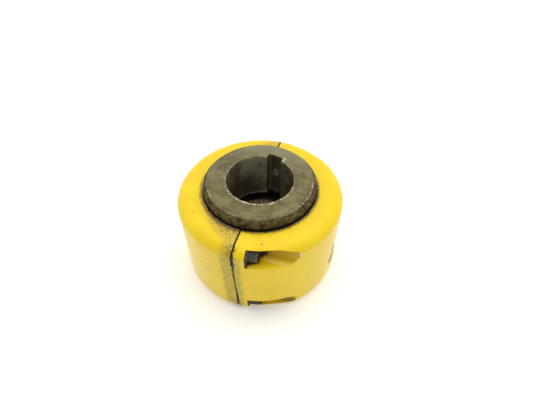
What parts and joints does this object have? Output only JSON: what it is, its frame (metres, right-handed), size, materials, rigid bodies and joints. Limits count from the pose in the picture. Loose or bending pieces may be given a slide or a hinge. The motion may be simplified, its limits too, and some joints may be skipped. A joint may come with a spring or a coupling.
{
  "type": "jaw coupling",
  "caption": "Shaft coupling with two jaw hubs, keyed bores, rubber load cushions and a split yellow cover clamped by recessed cap screws.",
  "frame": {"origin": "centre of the lower hub's end face, on the common axis of both bores", "axes": "+Z along the bores from the lower hub to the upper hub; the cover splits on the plane x = 0 and the cap screw heads face +X"},
  "size_m": [0.1282, 0.1282, 0.0857],
  "materials": {
    "hub_steel": "oxidised grey-brown machined steel, worn bright along the edges",
    "cover_yellow": "semi-gloss safety yellow paint, dirty along the seam",
    "screw_steel": "dull grey plated steel with rust in the corners",
    "cushion_rubber": "matt black moulded rubber"
  },
  "bodies": {
    "hub_lower": {"hub_lower": "hub_steel", "load_cushion_1": "cushion_rubber", "load_cushion_2": "cushion_rubber", "load_cushion_3": "cushion_rubber", "load_cushion_4": "cushion_rubber", "load_cushion_5": "cushion_rubber", "load_cushion_6": "cushion_rubber", "load_cushion_7": "cushion_rubber", "load_cushion_8": "cushion_rubber"},
    "hub_upper": {"hub_upper": "hub_steel"},
    "set_screw_upper": {"set_screw_upper": "screw_steel"},
    "set_screw_lower": {"set_screw_lower": "screw_steel"},
    "cover_pocketed": {"cover_half_pocketed": "cover_yellow"},
    "cover_tapped": {"cover_half_tapped": "cover_yellow"},
    "cap_screw_front_upper": {"cap_screw_front_upper": "screw_steel"},
    "cap_screw_front_lower": {"cap_screw_front_lower": "screw_steel"},
    "cap_screw_back_upper": {"cap_screw_back_upper": "screw_steel"},
    "cap_screw_back_lower": {"cap_screw_back_lower": "screw_steel"}
  },
  "joints": [
    {"name": "hub_windup", "type": "hinge", "parent": "hub_lower", "child": "hub_upper", "pos_m": [0, 0, 0.0381], "axis": [0, 0, 1], "range_deg": [-1, 1], "stiffness_Nm_per_rad": 60},
    {"name": "cover_pocketed_lift_off", "type": "slide", "parent": "hub_lower", "child": "cover_pocketed", "axis": [1, 0, 0], "range_m": [0, 0.07]},
    {"name": "cover_tapped_lift_off", "type": "slide", "parent": "hub_lower", "child": "cover_tapped", "axis": [-1, 0, 0], "range_m": [0, 0.07]},
    {"name": "cap_screw_front_upper_travel", "type": "slide", "parent": "cover_pocketed", "child": "cap_screw_front_upper", "axis": [1, 0, 0], "range_m": [0, 0.026]},
    {"name": "cap_screw_front_lower_travel", "type": "slide", "parent": "cover_pocketed", "child": "cap_screw_front_lower", "axis": [1, 0, 0], "range_m": [0, 0.026]},
    {"name": "cap_screw_back_upper_travel", "type": "slide", "parent": "cover_pocketed", "child": "cap_screw_back_upper", "axis": [1, 0, 0], "range_m": [0, 0.026]},
    {"name": "cap_screw_back_lower_travel", "type": "slide", "parent": "cover_pocketed", "child": "cap_screw_back_lower", "axis": [1, 0, 0], "range_m": [0, 0.026]},
    {"name": "set_screw_upper_travel", "type": "slide", "parent": "hub_upper", "child": "set_screw_upper", "axis": [-0.1521, -0.9884, 0], "range_m": [-0.003, 0.0042]},
    {"name": "set_screw_lower_travel", "type": "slide", "parent": "hub_lower", "child": "set_screw_lower", "axis": [0.1521, 0.9884, 0], "range_m": [-0.003, 0.0042]}
  ]
}
